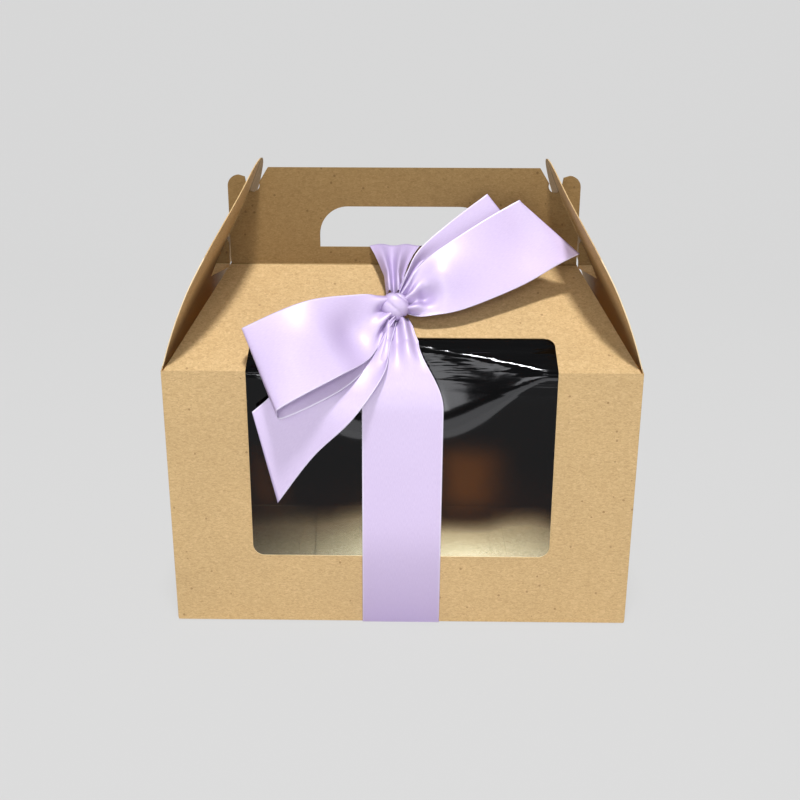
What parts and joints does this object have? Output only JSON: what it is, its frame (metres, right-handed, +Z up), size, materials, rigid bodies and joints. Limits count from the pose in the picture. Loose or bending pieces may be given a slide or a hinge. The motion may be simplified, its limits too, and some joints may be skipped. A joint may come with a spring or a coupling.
{
  "type": "gable box",
  "caption": "Kraft card gable box with a clear film window bent over the front edge, a hand hole in its handle, and a lilac satin ribbon tied round it in a bow.",
  "frame": {"origin": "On the floor under the middle of the box, on the underside of the ribbon that runs below it.", "axes": "X runs along the box's width and the handle, Y from the front (-Y, with the window) to the back, Z up."},
  "size_m": [0.24, 0.1676, 0.238],
  "materials": {
    "kraft": "matte",
    "film": "clear",
    "satin": "satin"
  },
  "bodies": {
    "root": {"carton": "kraft", "window_film": "film", "ribbon": "satin"}
  },
  "joints": []
}
